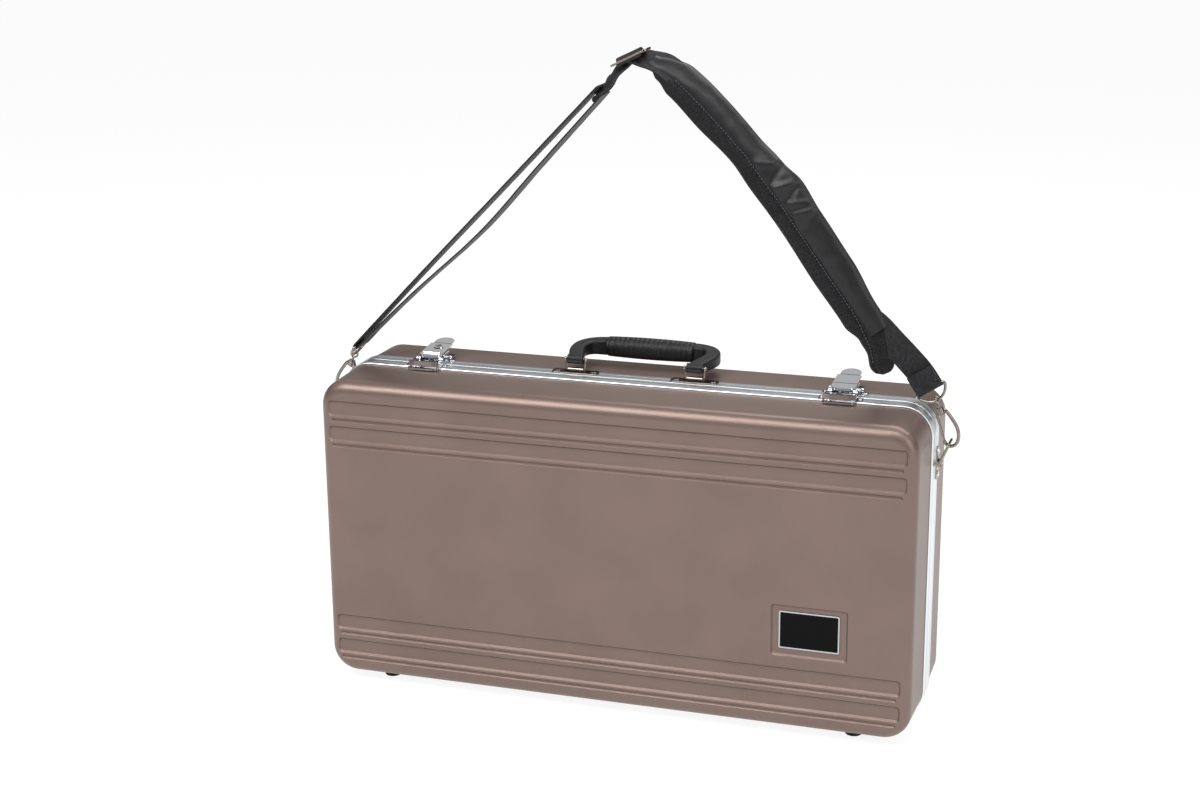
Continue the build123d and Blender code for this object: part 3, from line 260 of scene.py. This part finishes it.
finishes = {
    "shell_abs": shell_abs, "rim_aluminium": rim_aluminium, "latch_chrome": latch_chrome,
    "hook_nickel": hook_nickel, "hinge_steel": hinge_steel, "key_brass": key_brass,
    "handle_leather": handle_leather, "strap_webbing": strap_webbing, "sleeve_nylon": sleeve_nylon,
    "pad_pile": pad_pile, "liner_plush": liner_plush, "badge_black": badge_black,
    "badge_silver": badge_silver, "foot_rubber": foot_rubber,
}
for entry in frame["record"]["subparts"]:
    node = frame["nodes"][entry["node"]]
    for own in node.material_slots:
        own.material = finishes[entry["material_slot"]]
frame["nodes"]["handle_grip"].material_slots[0].material = grip_leather


# --- modelling -------------------------------------------------------------------------------


def fresh(kind, name, **where):
    """Adds one primitive with nothing else selected, and names it."""
    bpy.ops.object.select_all(action="DESELECT")
    getattr(bpy.ops.mesh, f"primitive_{kind}_add")(**where)
    piece = bpy.context.object
    piece.name = piece.data.name = name
    return piece


def pick(*pieces):
    """Selects these pieces alone, the first one active."""
    bpy.ops.object.select_all(action="DESELECT")
    for piece in pieces:
        piece.select_set(True)
    bpy.context.view_layer.objects.active = pieces[0]


def settle(piece):
    """Puts the piece's place into its mesh, its object at the origin."""
    pick(piece)
    bpy.ops.object.transform_apply(location=True, rotation=True, scale=True)


def shape(piece, kind, **settings):
    """Adds a modifier with its settings and applies it."""
    pick(piece)
    modifier = piece.modifiers.new(kind.title(), kind)
    for name, value in settings.items():
        setattr(modifier, name, value)
    bpy.ops.object.modifier_apply(modifier=modifier.name)


def soften(piece, angle):
    """Smooth shading across edges flatter than the angle in degrees."""
    pick(piece)
    bpy.ops.object.shade_smooth_by_angle(angle=math.radians(angle))


def in_plane(knots):
    """Places and width directions of a line in the strap's plane.

    Its knots are (x, z, turn in degrees, shift toward -Y), in mm.
    """
    places = [Vector((x, STRAP_Y - forward, z)) for x, z, _, forward in knots]
    sides = []
    for i, (_, _, turn, _) in enumerate(knots):
        along = places[min(i + 1, len(places) - 1)] - places[max(i - 1, 0)]
        outward = along.cross(DEPTH).normalized()
        sides.append(DEPTH * math.cos(math.radians(turn)) + outward * math.sin(math.radians(turn)))
    return places, sides


SPAN_STEPS = 32
HANDLE_SHARE = 0.36  # length of the curve's handles, as a share of the span between two places


def stations(places, sides, cell, square=True):
    """Even stations on a smooth line through the places: (place, across, out of the face), and the length.

    Where the width isn't square to the line, it keeps its own direction and length.
    """
    spots, turns = [places[0]], [sides[0]]
    for i in range(len(places) - 1):
        start, end = places[i], places[i + 1]
        reach = HANDLE_SHARE * (end - start).length
        lead = start + (end - places[max(i - 1, 0)]).normalized() * reach
        trail = end - (places[min(i + 2, len(places) - 1)] - start).normalized() * reach
        for j, spot in enumerate(interpolate_bezier(start, lead, trail, end, SPAN_STEPS + 1)[1:], 1):
            share = j / SPAN_STEPS
            share = share * share * (3 - 2 * share)
            spots.append(spot)
            turns.append(sides[i].lerp(sides[i + 1], share))
    travelled = [0.0]
    for before, after in zip(spots, spots[1:]):
        travelled.append(travelled[-1] + (after - before).length)
    length = travelled[-1]
    count = max(6, round(length / cell))
    frames, i = [], 0
    for k in range(count + 1):
        goal = length * k / count
        while i < len(spots) - 2 and travelled[i + 1] < goal:
            i += 1
        share = min(1.0, (goal - travelled[i]) / (travelled[i + 1] - travelled[i]))
        along = (spots[min(i + 2, len(spots) - 1)] - spots[max(i - 1, 0)]).normalized()
        side = turns[i].lerp(turns[i + 1], share)
        if square:
            side = (side - along * side.dot(along)).normalized()
        frames.append((spots[i].lerp(spots[i + 1], share), side, along.cross(side)))
    return frames, length


def laid(name, line, width, cell, rows, place_at, square=True):
    """Grid laid along a line: place_at(run, share across) gives the offsets across and out, in mm."""
    frames, length = stations(*line, cell, square)
    columns = len(frames) - 1
    piece = fresh("grid", name, x_subdivisions=columns, y_subdivisions=rows, size=1)
    for corner, uv in zip(piece.data.loops, piece.data.uv_layers.active.data):
        spot = piece.data.vertices[corner.vertex_index].co
        uv.uv = ((spot.x + 0.5) * length * MM, (spot.y + 0.5) * width * MM)
    for vertex in piece.data.vertices:
        share, reach = vertex.co.x + 0.5, vertex.co.y
        place, side, out = frames[round(share * columns)]
        across, lift = place_at(share * length, reach)
        vertex.co = (place + side * across + out * lift) * MM
    return piece


def strip(name, line, width, thick, cell=1.6, rows=8, wave=0.15, square=True):
    """Flat woven strip, a little uneven in its face."""

    def place_at(run, reach):
        return reach * (width if square else 1.0), wave * noise.noise(Vector((run / 14, reach * 2, 1.7)))

    piece = laid(name, line, width, cell, rows, place_at, square)
    shape(piece, "SOLIDIFY", thickness=thick * MM, offset=0)
    soften(piece, 40)
    return piece


def closed(piece):
    """Sews a rolled grid shut where its edges meet."""
    pick(piece)
    bpy.ops.object.mode_set(mode="EDIT")
    bpy.ops.mesh.select_all(action="SELECT")
    bpy.ops.mesh.remove_doubles(threshold=1e-6)
    bpy.ops.mesh.fill_holes(sides=0)
    bpy.ops.mesh.select_all(action="SELECT")
    bpy.ops.mesh.normals_make_consistent(inside=False)
    bpy.ops.object.mode_set(mode="OBJECT")


def stitches(name, line, across, out, pitch, thick=0.55):
    """Row of thread stitches along a line, that far across and out of the face (mm)."""
    frames, length = stations(*line, 2.0)
    row = bpy.data.curves.new(name + "_line", "CURVE")
    row.dimensions = "3D"
    spline = row.splines.new("POLY")
    spline.points.add(len(frames) - 1)
    for point, (place, side, face) in zip(spline.points, frames):
        point.co = (*((place + side * across + face * out) * MM), 1.0)
    carrier = bpy.data.objects.new(name + "_line", row)
    bpy.context.collection.objects.link(carrier)
    thread = fresh("uv_sphere", name, segments=8, ring_count=6, radius=MM)
    thread.rotation_euler = (0, math.pi / 2, 0)
    thread.scale = (thick / 2, thick / 2, pitch * 0.36)
    settle(thread)
    shape(
        thread, "ARRAY", fit_type="FIT_LENGTH", fit_length=(length - pitch) * MM,
        use_relative_offset=False, use_constant_offset=True,
        constant_offset_displace=(pitch * MM, 0, 0),
    )
    shape(thread, "CURVE", object=carrier, deform_axis="POS_X")
    bpy.data.objects.remove(carrier)
    soften(thread, 60)
    return thread


def merged(*pieces):
    """Joins the pieces into the first."""
    pick(*pieces)
    bpy.ops.object.join()
    return pieces[0]


def dress(piece, material, body, slot_name, *replaced):
    """Gives the piece its finish, its body, and the nodes that it replaces; its slot name is not used."""
    piece.data.materials.clear()
    piece.data.materials.append(material)
    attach(piece, body)
    if replaced:
        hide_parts(*replaced)


def between(run, table):
    """Value at that run from a table of (run, value), eased between its rows."""
    if run <= table[0][0]:
        return table[0][1]
    for (low, a), (high, b) in zip(table, table[1:]):
        if run < high:
            share = (run - low) / (high - low)
            return a + (b - a) * share * share * (3 - 2 * share)
    return table[-1][1]


# --- strap -----------------------------------------------------------------------------------

WEB_W, WEB_T = 25.0, 1.4
BAR_X, BAR_Z = 276.42, 314.54  # each D-ring's bar, from the middle and over the floor
WRAP = 2.15  # the webbing's middle, from the bar's axis

# Left run: down from the slider, round the D-ring's bar, and back up to the slider
BAR = Vector((-BAR_X, STRAP_Y, BAR_Z))
ALONG = Vector((0.691, 0, 0.7227))
OUTWARD = Vector((-0.7227, 0, 0.691))
DOWN_RUN = ((-24.5, 565.9), (-88.0, 497.0), (-143.9, 435.5), (-215.0, 371.5))
UP_RUN = ((-200.0, 397.5), (-118.0, 481.5), (-29.0, 573.2))
left_places = [Vector((x, STRAP_Y, z)) for x, z in DOWN_RUN]
left_places += [
    BAR - OUTWARD * WRAP + ALONG * 22,
    BAR - OUTWARD * WRAP + ALONG * 2.5,
    BAR - OUTWARD * WRAP * 0.7 - ALONG * WRAP * 0.7,
    BAR - ALONG * WRAP,
    BAR + OUTWARD * WRAP * 0.7 - ALONG * WRAP * 0.7,
    BAR + OUTWARD * WRAP + ALONG * 2.5,
    BAR + OUTWARD * WRAP + ALONG * 22,
]
left_places += [Vector((x, STRAP_Y, z)) for x, z in UP_RUN]
left_web = strip("left_web", (left_places, [DEPTH] * len(left_places)), WEB_W, WEB_T)
dress(left_web, strap_webbing, "strap", "strap_webbing", "webbing_left")

# Top: both runs gathered under the slider, one hump over its middle bar, and the tail behind it
SLIDER = Vector((-0.86, STRAP_Y, 599.1))
LONG = Vector((0.902, 0, 0.432))
RAISED = Vector((-0.432, 0, 0.902))
HUMP = ((-10.5, -2.6), (-6.4, -1.2), (-3.0, 2.6), (0, 3.7), (3.0, 2.6), (6.4, -1.2), (10.5, -2.6))
gather_places = [
    Vector((-34.5, STRAP_Y, 561.5)),
    Vector((-19.5, STRAP_Y, 576.8)),
    SLIDER - LONG * 5 - RAISED * 1.6,
]
gather_sides = [Vector((6, -23, -6)), Vector((13, -19, 0.5)), LONG * WEB_W - DEPTH * 9]
gather = strip("top_web", (gather_places, gather_sides), WEB_W, 1.8, cell=1.2, square=False)
hump_places = [SLIDER + DEPTH * y + RAISED * z for y, z in HUMP]
hump = strip("slider_hump", (hump_places, [LONG] * len(hump_places)), WEB_W, WEB_T, cell=0.9)
BEHIND_PAD = [(54.5, 573.0, 55, 0), (74.3, 553.1, 60, 0)]
TAIL = [(-3.0, 598.2, 10, -2), (13.9, 597.6, 30, -2), (33.5, 591.3, 45, -1)]
tail = strip("tail_web", in_plane(TAIL + BEHIND_PAD), WEB_W, WEB_T, cell=1.2)
top_web = merged(gather, hump, tail)
dress(top_web, strap_webbing, "strap", "strap_webbing", "webbing_top")

# Right run: between the pad and its sleeve, and round the right D-ring's bar
BAND = [
    (104.9, 520.5, 52, 0), (133.4, 488.8, 80, 0), (160.5, 453.3, 90, 0), (186.4, 416.8, 90, 0),
    (213.5, 379.4, 90, 0),
]
TO_RING = [(228.3, 368.0, 90, 0), (243.0, 353.5, 90, 0), (257.1, 339.2, 90, -1), (267.0, 328.0, 90, -WRAP)]
SLOPE = Vector((-0.559, 0, 0.829))
ALONG_BAR = Vector((0.829, 0, 0.559))
RIGHT_BAR = Vector((BAR_X, STRAP_Y, BAR_Z))
ROUND_BAR = (
    (3, WRAP), (-1.5, 1.5), (-WRAP, 0), (-1.5, -1.5), (3, -WRAP), (10, -WRAP - 0.5), (18, -WRAP + 0.2),
)
right_places, right_sides = in_plane(BEHIND_PAD + BAND + TO_RING)
right_places += [RIGHT_BAR + SLOPE * spot + DEPTH * depth for spot, depth in ROUND_BAR]
right_sides += [ALONG_BAR] * len(ROUND_BAR)
right_web = strip("right_web", (right_places, right_sides), WEB_W, WEB_T, cell=1.4)
dress(right_web, strap_webbing, "strap", "strap_webbing", "webbing_right")
fold_face = [RIGHT_BAR + SLOPE * spot - DEPTH * (WRAP + 0.9) for spot in (5, 10, 15)]
fold_line = (fold_face, [ALONG_BAR] * len(fold_face))
fold_rows = [
    stitches(f"fold_thread_{i}", fold_line, across, 0, 2.4, 0.5) for i, across in enumerate((-9.5, 9.5))
]
fold_threads = merged(*fold_rows)
fold_threads.name = fold_threads.data.name = "fold_threads"
dress(fold_threads, seam_thread, "strap", "strap_webbing")

# Shoulder pad: pile over foam, rolled edges, twisted where it leaves the slider, its lower tongue rounded
UNDER_SLIDER = [(19.0, 596.5, 38, -1)]
PAD_TOP = [(43.9, 580.5, 50, -1), (74.4, 553.1, 60, -1)]
pad_line = in_plane(UNDER_SLIDER + PAD_TOP + BAND + [(228.0, 352.0, 90, -2), (234.0, 323.0, 90, -3)])

# The pad's two edges and half its thickness: run along the pad, distance from its line, in mm
PAD_LEFT = [
    (0, -6), (14, -14), (32, -18.5), (72, -19.5), (116, -17.0), (158, -19.5), (250, -21.1),
    (297, -20.6), (318, -14.5), (336, -11.5),
]
PAD_RIGHT = [
    (0, 6), (14, 13), (32, 17), (72, 16.2), (116, 17.0), (145, 17.5), (168, 21.0), (198, 19.4),
    (250, 19.0), (297, 14.7), (318, 12.5), (336, 11.5),
]
PAD_THICK = [(0, 1.2), (16, 3.4), (50, 4.6), (300, 4.6), (325, 3.8)]
PAD_GIRTH, SLEEVE_GIRTH = 92, 60
TIP_R = 11.0
SEAM = -6.0  # across from the pad's line
GROOVE, GROOVE_W = 1.5, 1.3  # depth and half breadth of the pulled seam
SLEEVE_T = 0.75  # the sleeve's cloth over the pad
SLEEVE_OVER = 0.9  # past the pad's edge
pad_run = stations(*pad_line, 3.0)[1]


def rounded_end(run, radius):
    """Share of the width left where the tongue's tip is rounded."""
    left = pad_run - run
    return math.sqrt(max(0.0, 1 - (1 - min(1.0, left / radius)) ** 2))


def crown(run, across):
    """Half thickness of the pad there: full in the middle, rolled off at its edges."""
    left, right = between(run, PAD_LEFT), between(run, PAD_RIGHT)
    share = min(1.0, abs((across - (left + right) / 2) / ((right - left) / 2)))
    return between(run, PAD_THICK) * (1 - share ** 2.6) ** 0.55


# Folds of the cover where the strap turns: run, slant, height and breadth, in mm
FOLDS = [
    (96, 0.3, 0.6, 7.0), (138, 0.6, 1.5, 4.5), (149, -0.3, -1.3, 4.5), (162, 0.35, 2.3, 3.6),
    (171, -0.45, -1.9, 4.0), (181, 0.5, 1.2, 3.0), (191, 0.3, 1.9, 3.6), (201, -0.3, -1.1, 5.0),
    (236, 0.25, 0.7, 6.0), (272, -0.2, 0.6, 7.0),
]


def unevenness(run, across):
    """Dents and folds of the stuffed cloth."""
    dents = 0.6 * noise.noise(Vector((run / 26, across / 13, 4.2)))
    lift = dents + 0.25 * noise.noise(Vector((run / 8, across / 6, 9.1)))
    for centre, slant, height, breadth in FOLDS:
        lift += height * math.exp(-(((run - centre - slant * (across - 8)) / breadth) ** 2))
    return lift


def pad_at(run, reach):
    """Offsets of the pad's surface, which goes once round its section over the reach."""
    tip = rounded_end(run, TIP_R)
    angle = 2 * math.pi * reach
    left, right = between(run, PAD_LEFT), between(run, PAD_RIGHT)
    across = (left + right) / 2 + (right - left) / 2 * math.cos(angle)
    lift = crown(run, across) * tip ** 0.6
    if reach <= 0:
        return across * tip, -lift
    if lift > 1:
        groove = GROOVE * math.exp(-(((across - SEAM) / GROOVE_W) ** 2)) * min(1.0, crown(run, across) / 3)
        lift = lift - groove + 0.7 * unevenness(run, across)
    return across * tip, max(0.0, lift)


pad = laid("pile_pad", pad_line, PAD_GIRTH, 2.0, 56, pad_at)
closed(pad)
soften(pad, 60)
dress(pad, pad_pile, "strap", "pad_pile", "shoulder_pad")
SEAM_FOOT = [(221.0, 364.0, 90, -1), (227.5, 350.0, 90, -2), (231.0, 335.0, 90, -2)]
seam_line = in_plane(PAD_TOP + BAND + SEAM_FOOT)
pad_threads = stitches("pad_threads", seam_line, SEAM + 0.6, 5.0, 3.2, 0.8)
dress(pad_threads, seam_thread, "strap", "pad_pile")

# Sleeve: cloth sewn along the pad's middle and wrapped over its upper half
sleeve_line = in_plane(UNDER_SLIDER + PAD_TOP + BAND + [(226.5, 362.0, 88, -1)])


def sleeve_at(run, reach):
    """Offsets of the sleeve's surface, from the seam round the pad's edge and back."""
    angle = 2 * math.pi * reach
    edge = between(run, PAD_RIGHT) + SLEEVE_OVER
    across = SEAM + (edge - SEAM) * (1 + math.cos(angle)) / 2
    closing = abs(math.sin(angle)) ** 0.35
    lift = (crown(run, min(across, edge - 1.2)) + SLEEVE_T) * closing
    if reach <= 0:
        return across, -lift
    sag = min(1.0, max(0.0, (across - SEAM) / 4)) * closing
    return across, lift + sag * (0.5 + unevenness(run, across))


sleeve = laid("sleeve_cloth", sleeve_line, SLEEVE_GIRTH, 1.6, 48, sleeve_at)
closed(sleeve)
soften(sleeve, 50)
dress(sleeve, sleeve_nylon, "strap", "sleeve_nylon", "pad_sleeve")

# --- studio ----------------------------------------------------------------------------------

# White sweep: the floor shows white to the camera and still takes the case's shadow.
floor_paper = bpy.data.materials.new("white_paper_sweep")
floor_paper.use_nodes = True
tree = floor_paper.node_tree
tree.nodes.clear()
out = add(tree, "OutputMaterial")
paper = add(tree, "BsdfDiffuse", {"Color": linear("f4f4f4")})
glow = add(tree, "Emission", {"Color": (1, 1, 1, 1), "Strength": 1.12})
rays = add(tree, "LightPath")
to_camera = add(tree, "Math", {0: rays.outputs["Is Camera Ray"], 1: 0.8}, operation="MULTIPLY")
in_gloss = add(tree, "Math", {0: rays.outputs["Is Glossy Ray"], 1: 0.6}, operation="MULTIPLY")
share = add(tree, "Math", {0: to_camera.outputs[0], 1: in_gloss.outputs[0]}, operation="MAXIMUM")
mixed = add(tree, "MixShader", {0: share.outputs[0], 1: paper.outputs[0], 2: glow.outputs[0]})
tree.links.new(mixed.outputs[0], out.inputs["Surface"])
floor = fresh("plane", "floor", size=14)
floor.data.materials.append(floor_paper)

world = bpy.data.worlds.new("studio")
bpy.context.scene.world = world
world.use_nodes = True
tree = world.node_tree
tree.nodes.clear()
out = add(tree, "OutputWorld")
direction = add(tree, "TexCoord")
height = add(tree, "SeparateXYZ", {0: direction.outputs["Generated"]})
SKY = [(0.0, "d8d8d8"), (0.12, "4a4a4e"), (0.3, "505054"), (0.45, "d0d0d0"), (1.0, "a0a0a4")]
sky = add(tree, "Background", {"Color": ramp(tree, height.outputs["Z"], SKY), "Strength": 0.8})
white = add(tree, "Background", {"Color": (1, 1, 1, 1), "Strength": 1.0})
rays = add(tree, "LightPath")
mixed = add(tree, "MixShader", {0: rays.outputs["Is Camera Ray"], 1: sky.outputs[0], 2: white.outputs[0]})
tree.links.new(mixed.outputs[0], out.inputs["Surface"])


def softbox(name, at, toward, width, height, power):
    """Rectangular lamp of that size in metres and power in watts, aimed at a point."""
    light = bpy.data.lights.new(name, "AREA")
    light.shape = "RECTANGLE"
    light.size, light.size_y, light.energy = width, height, power
    box = bpy.data.objects.new(name, light)
    bpy.context.collection.objects.link(box)
    box.location = at
    box.rotation_euler = (Vector(toward) - Vector(at)).to_track_quat("-Z", "Y").to_euler()


softbox("key_box", (-1.2, -1.9, 2.4), (0, 0, 0.25), 1.6, 1.2, 34)
softbox("top_box", (0.0, -1.0, 2.1), (0, 0, 0.3), 2.4, 0.7, 22)
softbox("rear_box", (0.5, 1.2, 2.2), (0, 0, 0.3), 2.4, 1.0, 24)
softbox("right_box", (2.2, -1.2, 1.2), (0.1, 0, 0.2), 0.9, 1.6, 12)

# Camera at a three-quarter view, a little above the case
LENS_MM, SENSOR_MM = 62.59, 36.0
CAMERA_AT = (0.5606, -1.7754, 0.8283)
YAW, PITCH, ROLL = math.radians(18.40), math.radians(16.32), math.radians(-0.53)
ahead = Vector((-math.sin(YAW) * math.cos(PITCH), math.cos(YAW) * math.cos(PITCH), -math.sin(PITCH)))
level = Vector((math.cos(YAW), math.sin(YAW), 0))
upward = level.cross(ahead)
right = math.cos(ROLL) * level + math.sin(ROLL) * upward
up = -math.sin(ROLL) * level + math.cos(ROLL) * upward
lens = bpy.data.cameras.new("camera")
lens.lens, lens.sensor_width, lens.sensor_fit = LENS_MM, SENSOR_MM, "HORIZONTAL"
camera = bpy.data.objects.new("camera", lens)
bpy.context.collection.objects.link(camera)
turn = Matrix((right, up, -ahead)).transposed()
camera.matrix_world = Matrix.Translation(CAMERA_AT) @ turn.to_4x4()
bpy.context.scene.camera = camera
bpy.context.scene.view_settings.view_transform = "Standard"
